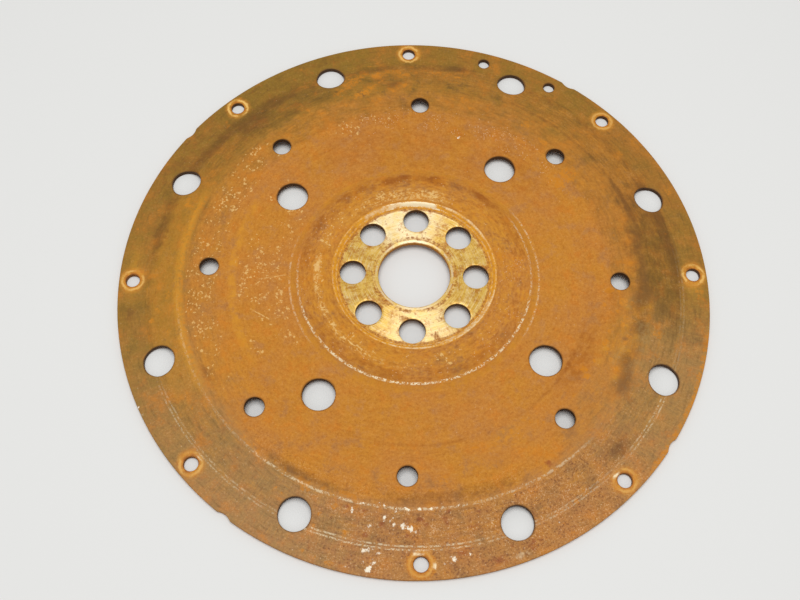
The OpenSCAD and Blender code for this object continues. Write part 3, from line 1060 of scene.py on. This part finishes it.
def machined_steel():
    """Turned steel of the hub floor, straw-coloured, with a painted highlight at its far and near sides and
    rust creeping in from its edges.
    """
    p = Paint("machined_steel")
    mid = p.noise(p.spot, 0.22, 4)
    lump = p.noise(p.spot, 0.9, 4, 0.7)
    grit = p.noise(p.spot, 2.0, 2, 0.6)
    turned = p.ring_noise(3, 4.0, 3)
    breaks = p.ease(p.add(lump, p.swing(mid, 0.8)), 0.4, 0.6)

    colour = p.mix(p.ease(mid, 0.35, 0.65), STRAW, STRAW_DARK)
    # Painted highlight of the lamp on the far and near sides of the hub
    colour = p.coat(colour, STRAW_HIGHLIGHT, p.stain("painted_hub_sheen"), p.ease(p.add(mid, p.swing(lump, 0.5)), 0.2, 0.6))
    colour = p.coat(colour, BARE_STEEL, p.ease(turned, 0.46, 0.68), 0.45)
    colour = p.coat(colour, STRAW_BROWN, p.ease(turned, 0.5, 0.3), 0.35)
    colour = p.coat(colour, STRAW_BROWN, p.ease(p.add(lump, p.swing(mid, 0.6)), 0.5, 0.7), 0.7)
    colour = p.coat(colour, CHALK, p.ease(lump, 0.48, 0.25), 0.42)
    colour = p.coat(colour, RUST_DEEP, p.ease(p.add(grit, p.swing(mid, 0.8)), 0.57, 0.72), 0.45)
    colour = p.coat(colour, BARE_STEEL, p.line(bore_r + 1.1, 0.8, p.swing(mid, 0.6)), breaks, 0.6)
    colour = p.coat(colour, RUST_DEEP, p.line(bore_r + 3.0, 0.7, p.swing(mid, 1.0)), breaks, 0.7)
    rust = p.ragged("hub_rust", (0.3, 0.95), (0.02, 0.2), p.swing(mid, 1.0), p.swing(lump, 1.0))
    colour = p.coat(colour, p.mix(p.ease(lump, 0.4, 0.6), GOLD, RUST_DEEP), rust, 0.85)

    p.finish("Base Color", colour)
    p.finish("Metallic", p.blend(rust, 0.3, 0.0))
    p.finish("Roughness", p.blend(rust, p.add(0.36, p.swing(turned, 0.15)), 0.75))
    p.finish("Specular IOR Level", 0.5)
    p.finish("Anisotropic", 0.8)
    p.finish("Anisotropic Rotation", 0.25)
    tangent = p.tree.nodes.new("ShaderNodeTangent")
    tangent.direction_type = "RADIAL"
    tangent.axis = "Z"
    p.finish("Tangent", tangent.outputs[0])
    p.bump(p.add(p.times(turned, 0.5), p.times(lump, 0.5)), 0.03 * MM)
    return p.material


def pale_floor():
    """A plain matt floor."""
    p = Paint("pale_floor")
    p.finish("Base Color", FLOOR_GREY)
    p.finish("Roughness", 0.9)
    p.finish("Specular IOR Level", 0.1)
    return p.material


# The rust is the first material, and the machined steel is on the faces of the hub floor
mesh.materials.append(surface_rust())
mesh.materials.append(machined_steel())
middles = np.empty(len(mesh.polygons) * 3)
mesh.polygons.foreach_get("center", middles)
middles = middles.reshape(-1, 3) / MM
facing = np.empty(len(mesh.polygons) * 3)
mesh.polygons.foreach_get("normal", facing)
hub = (distance(middles) < floor_r) & (facing[2::3] > 0.5)
mesh.polygons.foreach_set("material_index", hub.astype(np.int32))
mesh.update()

# The stage. Its lengths are multiples of the plate's radius.

FLOOR_REACH = 200
LAMP_SIZE = 6.2
LAMP_Y = -0.35
LAMP_Z = 9.5
LAMP_WATTS = 12
WORLD_STRENGTH = 0.45

plate_r = rim_r * MM
reach = FLOOR_REACH * plate_r
corners = [(-reach, -reach, 0), (reach, -reach, 0), (reach, reach, 0), (-reach, reach, 0)]
floor_mesh = bpy.data.meshes.new("floor")
floor_mesh.from_pydata(corners, [], [(0, 1, 2, 3)])
floor_mesh.materials.append(pale_floor())
floor = add_object("floor", floor_mesh)

world = bpy.data.worlds.new("studio")
bpy.context.scene.world = world
world.use_nodes = True
background = world.node_tree.nodes["Background"]
background.inputs["Color"].default_value = (1, 1, 1, 1)
background.inputs["Strength"].default_value = WORLD_STRENGTH

lamp = bpy.data.lights.new("soft_box", "AREA")
lamp.shape = "DISK"
lamp.size = LAMP_SIZE * plate_r
lamp.energy = LAMP_WATTS
soft_box = add_object("soft_box", lamp)
soft_box.location = (0, LAMP_Y * plate_r, LAMP_Z * plate_r)

# The camera: place and near limit in millimetres, angles in degrees, lens and frame in pixels
CAMERA_AT = (-3.05, -208.45, 420.4)
YAW, PITCH, ROLL = -1.0, 64.865, -1.21
FOCAL_PIXELS = 953.1
FRAME_PIXELS = 800
NEAR_LIMIT = 10


def place_camera():
    """The camera, turned by its yaw, pitch and roll."""
    yaw, pitch, roll = (math.radians(angle) for angle in (YAW, PITCH, ROLL))
    forward = Vector((math.sin(yaw) * math.cos(pitch), math.cos(yaw) * math.cos(pitch), -math.sin(pitch)))
    level = Vector((math.cos(yaw), -math.sin(yaw), 0))
    down = forward.cross(level)
    right = level * math.cos(roll) + down * math.sin(roll)
    below = down * math.cos(roll) - level * math.sin(roll)
    turn = Matrix((right, -below, -forward)).transposed().to_4x4()
    data = bpy.data.cameras.new("camera")
    data.sensor_fit = "HORIZONTAL"
    data.lens = FOCAL_PIXELS * data.sensor_width / FRAME_PIXELS
    data.clip_start = NEAR_LIMIT * MM
    camera = add_object("camera", data)
    camera.matrix_world = Matrix.Translation(Vector(CAMERA_AT) * MM) @ turn
    bpy.context.scene.camera = camera


place_camera()
bpy.context.scene.view_settings.view_transform = "Standard"

bpy.context.view_layer.update()
